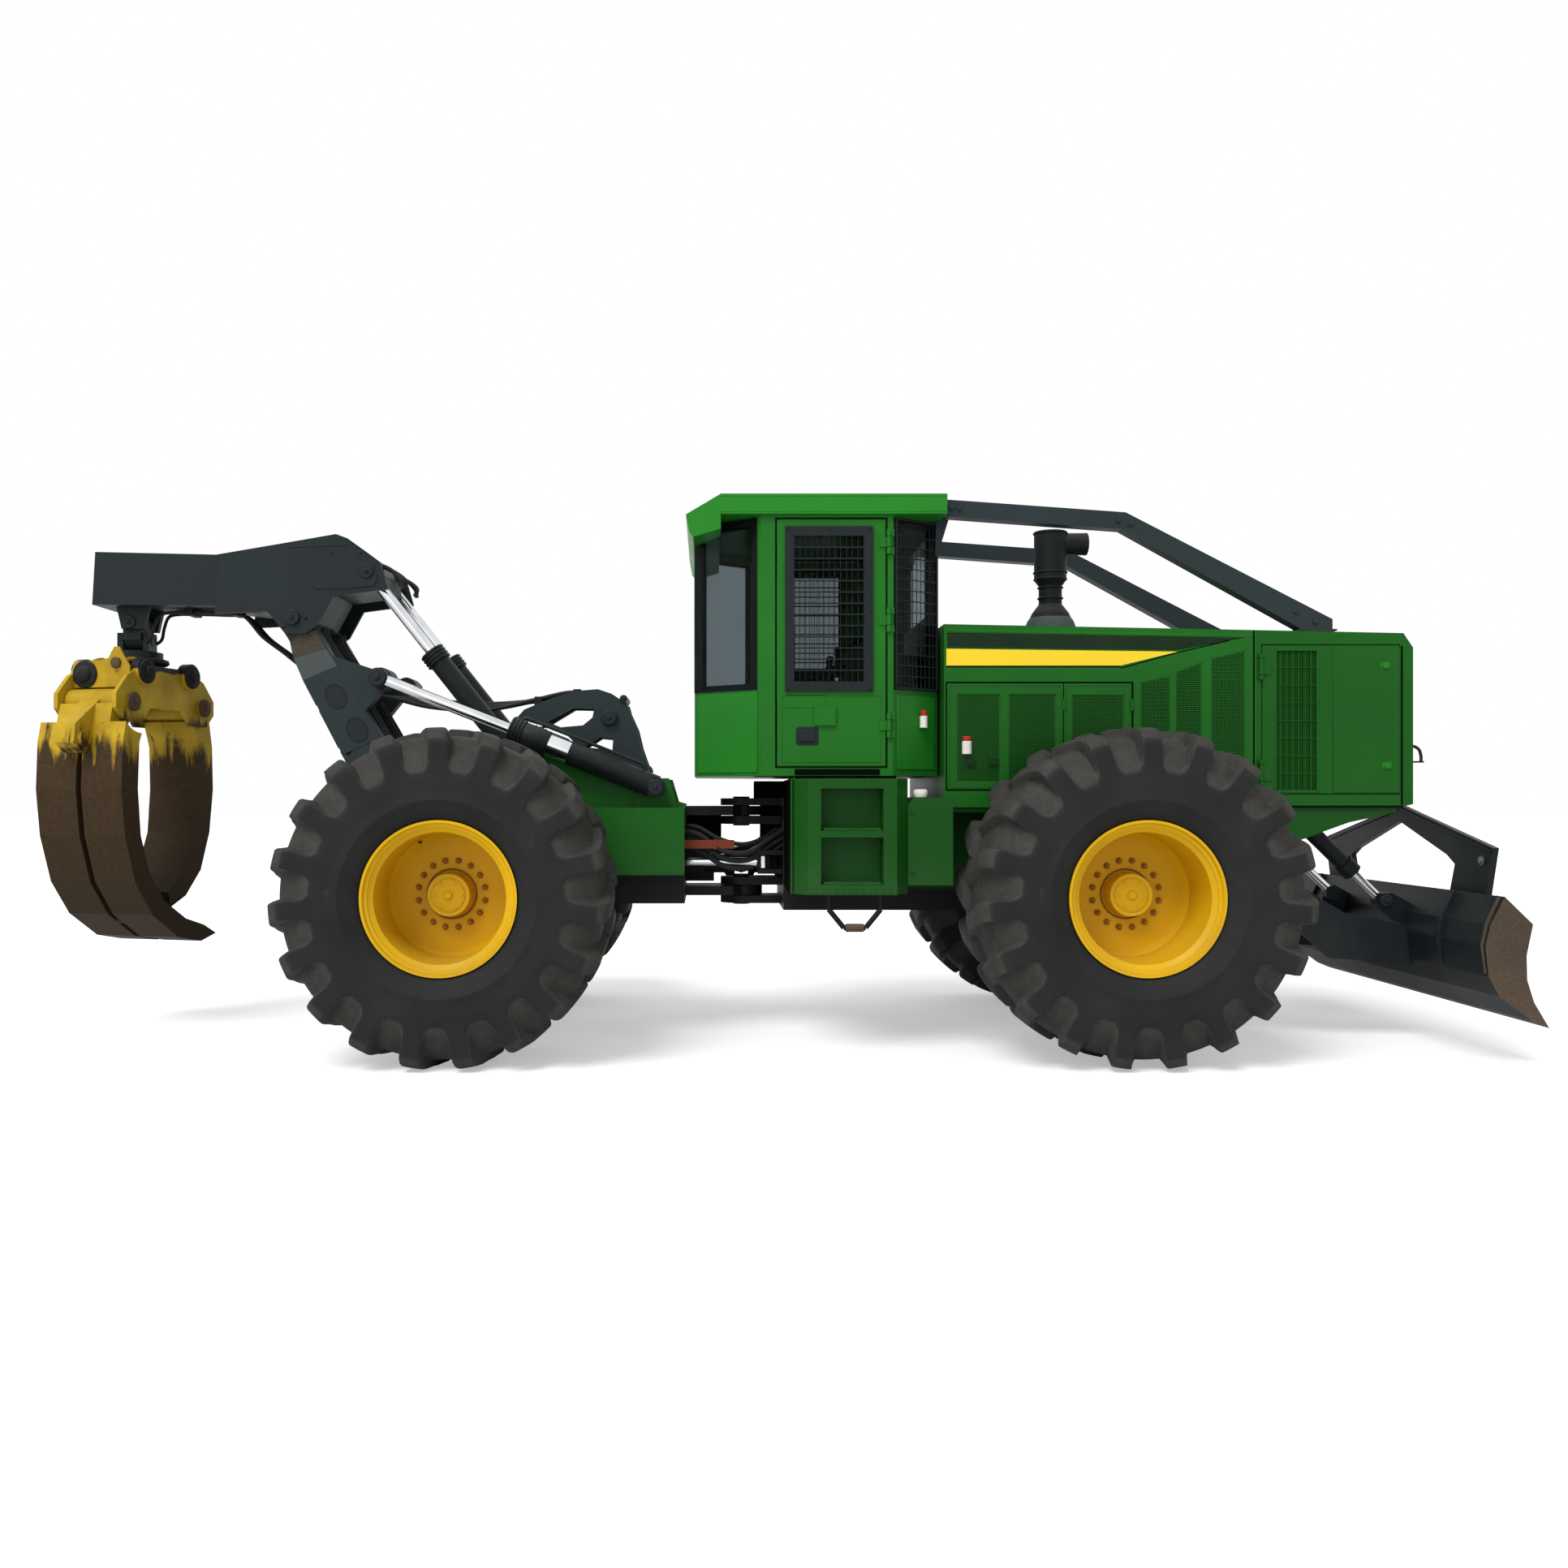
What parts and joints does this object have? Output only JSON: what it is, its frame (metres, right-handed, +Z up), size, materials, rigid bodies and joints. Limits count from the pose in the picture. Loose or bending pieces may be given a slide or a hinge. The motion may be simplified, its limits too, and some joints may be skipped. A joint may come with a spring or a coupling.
{
  "type": "grapple skidder",
  "caption": "Four-wheel articulated forestry skidder with a cab, a front blade, and a boom on a tilting arch that carries a rotating log grapple.",
  "frame": {"origin": "on the ground under the middle of the whole machine at rest", "axes": "+X forward to the blade, +Y to the machine's left, +Z up"},
  "size_m": [9.1419, 3.26, 3.4198],
  "materials": {
    "green_paint": "gloss",
    "black_paint": "satin",
    "yellow_paint": "satin",
    "worn_yellow": "worn",
    "rusty_steel": "worn",
    "red_paint": "satin",
    "tyre_rubber": "matte",
    "chrome_rod": "polished",
    "dark_iron": "matte",
    "window_glass": "clear",
    "seat_trim": "matte"
  },
  "bodies": {
    "front_frame": {"front_frame": "green_paint", "front_axle": "dark_iron", "engine_block": "dark_iron", "hood": "green_paint", "cooler_housing": "green_paint", "cooler_core": "dark_iron", "cab_shell": "green_paint", "cab_roof": "green_paint", "cab_windows": "window_glass", "operator_station": "seat_trim", "guard_bars": "black_paint", "exhaust_stack": "black_paint", "side_boxes": "green_paint"},
    "wheel_front_left": {"tyre_front_left": "tyre_rubber", "rim_front_left": "yellow_paint"},
    "wheel_front_right": {"tyre_front_right": "tyre_rubber", "rim_front_right": "yellow_paint"},
    "rear_frame": {"rear_frame": "green_paint", "rear_axle": "dark_iron", "tower_bracket": "black_paint", "lock_bar": "red_paint"},
    "wheel_rear_left": {"tyre_rear_left": "tyre_rubber", "rim_rear_left": "yellow_paint"},
    "wheel_rear_right": {"tyre_rear_right": "tyre_rubber", "rim_rear_right": "yellow_paint"},
    "steering_barrel_left": {"steering_barrel_left": "black_paint"},
    "steering_barrel_right": {"steering_barrel_right": "black_paint"},
    "steering_rod_left": {"steering_rod_left": "chrome_rod"},
    "steering_rod_right": {"steering_rod_right": "chrome_rod"},
    "cab_door_left": {"cab_door_left": "green_paint", "door_window_left": "window_glass"},
    "cab_door_right": {"cab_door_right": "green_paint", "door_window_right": "window_glass"},
    "cooler_door_left": {"cooler_door_left": "green_paint"},
    "cooler_door_right": {"cooler_door_right": "green_paint"},
    "blade": {"blade": "black_paint"},
    "blade_cylinder_barrels": {"blade_cylinder_barrels": "black_paint"},
    "blade_cylinder_rods": {"blade_cylinder_rods": "chrome_rod"},
    "arch": {"arch": "black_paint"},
    "arch_cylinder_barrels": {"arch_cylinder_barrels": "black_paint"},
    "arch_cylinder_rods": {"arch_cylinder_rods": "chrome_rod"},
    "boom": {"boom": "black_paint"},
    "boom_cylinder_barrels": {"boom_cylinder_barrels": "black_paint"},
    "boom_cylinder_rods": {"boom_cylinder_rods": "chrome_rod"},
    "crosshead": {"crosshead": "black_paint"},
    "rotator": {"rotator": "black_paint"},
    "grapple_head": {"grapple_head": "worn_yellow"},
    "tong_rear": {"tong_rear": "rusty_steel"},
    "tong_front": {"tong_front": "rusty_steel"}
  },
  "joints": [
    {"name": "wheel_front_left_spin", "type": "hinge", "parent": "front_frame", "child": "wheel_front_left", "pos_m": [2.222, 1.21, 0.975], "axis": [0, 1, 0], "continuous": true},
    {"name": "wheel_front_right_spin", "type": "hinge", "parent": "front_frame", "child": "wheel_front_right", "pos_m": [2.222, -1.21, 0.975], "axis": [0, 1, 0], "continuous": true},
    {"name": "wheel_rear_left_spin", "type": "hinge", "parent": "rear_frame", "child": "wheel_rear_left", "pos_m": [-1.778, 1.21, 0.975], "axis": [0, 1, 0], "continuous": true},
    {"name": "wheel_rear_right_spin", "type": "hinge", "parent": "rear_frame", "child": "wheel_rear_right", "pos_m": [-1.778, -1.21, 0.975], "axis": [0, 1, 0], "continuous": true},
    {"name": "frame_steering", "type": "hinge", "parent": "front_frame", "child": "rear_frame", "pos_m": [-0.033, 0, 1.2], "axis": [0, 0, 1], "range_deg": [-45, 45]},
    {"name": "cab_door_left_hinge", "type": "hinge", "parent": "front_frame", "child": "cab_door_left", "pos_m": [0.856, 0.846, 2.5], "axis": [0, 0, -1], "range_deg": [0, 110]},
    {"name": "cab_door_right_hinge", "type": "hinge", "parent": "front_frame", "child": "cab_door_right", "pos_m": [0.856, -0.846, 2.5], "axis": [0, 0, 1], "range_deg": [0, 110]},
    {"name": "cooler_door_left_hinge", "type": "hinge", "parent": "front_frame", "child": "cooler_door_left", "pos_m": [3.18, 0.756, 2.03], "axis": [0, 0, 1], "range_deg": [0, 95]},
    {"name": "cooler_door_right_hinge", "type": "hinge", "parent": "front_frame", "child": "cooler_door_right", "pos_m": [3.18, -0.756, 2.03], "axis": [0, 0, -1], "range_deg": [0, 95]},
    {"name": "blade_lift", "type": "hinge", "parent": "front_frame", "child": "blade", "pos_m": [3.372, 0, 0.95], "axis": [0, -1, 0], "range_deg": [-24, 8]},
    {"name": "blade_cylinder_barrels_hinge", "type": "hinge", "parent": "front_frame", "child": "blade_cylinder_barrels", "pos_m": [3.622, 0, 1.36], "axis": [0, 1, 0], "range_deg": [-6.5, 19.2]},
    {"name": "blade_cylinder_rods_slide", "type": "slide", "parent": "blade_cylinder_barrels", "child": "blade_cylinder_rods", "axis": [0.7144, 0, -0.6998], "range_m": [-0.064, 0.19]},
    {"name": "arch_swing", "type": "hinge", "parent": "rear_frame", "child": "arch", "pos_m": [-2.208, 0, 1.3], "axis": [0, 1, 0], "range_deg": [0, 30]},
    {"name": "arch_cylinder_barrels_hinge", "type": "hinge", "parent": "rear_frame", "child": "arch_cylinder_barrels", "pos_m": [-0.591, 0, 1.612], "axis": [0, 1, 0], "range_deg": [-0.1, 5.8]},
    {"name": "arch_cylinder_rods_slide", "type": "slide", "parent": "arch_cylinder_barrels", "child": "arch_cylinder_rods", "axis": [-0.9301, 0, 0.3674], "range_m": [-0.505, 0.001]},
    {"name": "boom_lower", "type": "hinge", "parent": "arch", "child": "boom", "pos_m": [-2.948, 0, 2.71], "axis": [0, -1, 0], "range_deg": [-15, 35]},
    {"name": "boom_cylinder_barrels_hinge", "type": "hinge", "parent": "rear_frame", "child": "boom_cylinder_barrels", "pos_m": [-1.338, 0, 1.58], "axis": [0, 1, 0], "range_deg": [-0.1, 28.2]},
    {"name": "boom_cylinder_rods_slide", "type": "slide", "parent": "boom_cylinder_barrels", "child": "boom_cylinder_rods", "axis": [-0.62, 0, 0.7846], "range_m": [-0.145, 0.336]},
    {"name": "steering_barrel_left_hinge", "type": "hinge", "parent": "rear_frame", "child": "steering_barrel_left", "pos_m": [-1.028, 0.22, 1.126], "axis": [0, 0, 1], "range_deg": [-5.5, 5.5]},
    {"name": "steering_rod_left_slide", "type": "slide", "parent": "steering_barrel_left", "child": "steering_rod_left", "axis": [0.9969, 0.079, 0], "range_m": [-0.22, 0.22]},
    {"name": "steering_barrel_right_hinge", "type": "hinge", "parent": "rear_frame", "child": "steering_barrel_right", "pos_m": [-1.028, -0.22, 1.126], "axis": [0, 0, 1], "range_deg": [-5.5, 5.5]},
    {"name": "steering_rod_right_slide", "type": "slide", "parent": "steering_barrel_right", "child": "steering_rod_right", "axis": [0.9969, -0.079, 0], "range_m": [-0.22, 0.22]},
    {"name": "grapple_swing", "type": "hinge", "parent": "boom", "child": "crosshead", "pos_m": [-4.113, 0, 2.715], "axis": [0, 1, 0], "range_deg": [-30, 30]},
    {"name": "grapple_sway", "type": "hinge", "parent": "crosshead", "child": "rotator", "pos_m": [-4.113, 0, 2.6], "axis": [1, 0, 0], "range_deg": [-20, 20]},
    {"name": "grapple_rotate", "type": "hinge", "parent": "rotator", "child": "grapple_head", "pos_m": [-4.113, 0, 2.48], "axis": [0, 0, 1], "continuous": true},
    {"name": "tong_rear_open", "type": "hinge", "parent": "grapple_head", "child": "tong_rear", "pos_m": [-4.21006, -0.36222, 2.165], "axis": [-0.9659, 0.2588, 0], "range_deg": [-2, 70]},
    {"name": "tong_front_open", "type": "hinge", "parent": "grapple_head", "child": "tong_front", "pos_m": [-4.01594, 0.36222, 2.165], "axis": [0.9659, -0.2588, 0], "range_deg": [-2, 70]}
  ],
  "couplings": [
    {"joint": "blade_cylinder_barrels_hinge", "follows": "blade_lift", "ratio": -0.79561},
    {"joint": "blade_cylinder_rods_slide", "follows": "blade_lift", "m_per_rad": -0.4496},
    {"joint": "arch_cylinder_barrels_hinge", "follows": "arch_swing", "ratio": 0.18748},
    {"joint": "arch_cylinder_rods_slide", "follows": "arch_swing", "m_per_rad": -0.96221},
    {"joint": "boom_cylinder_barrels_hinge", "follows": "arch_swing", "ratio": 0.93623},
    {"joint": "boom_cylinder_rods_slide", "follows": "boom_lower", "m_per_rad": 0.54785},
    {"joint": "steering_barrel_left_hinge", "follows": "frame_steering", "ratio": -0.11945},
    {"joint": "steering_rod_left_slide", "follows": "frame_steering", "m_per_rad": 0.27801},
    {"joint": "steering_barrel_right_hinge", "follows": "frame_steering", "ratio": -0.11945},
    {"joint": "steering_rod_right_slide", "follows": "frame_steering", "m_per_rad": -0.27801},
    {"joint": "tong_front_open", "follows": "tong_rear_open", "ratio": 1}
  ]
}
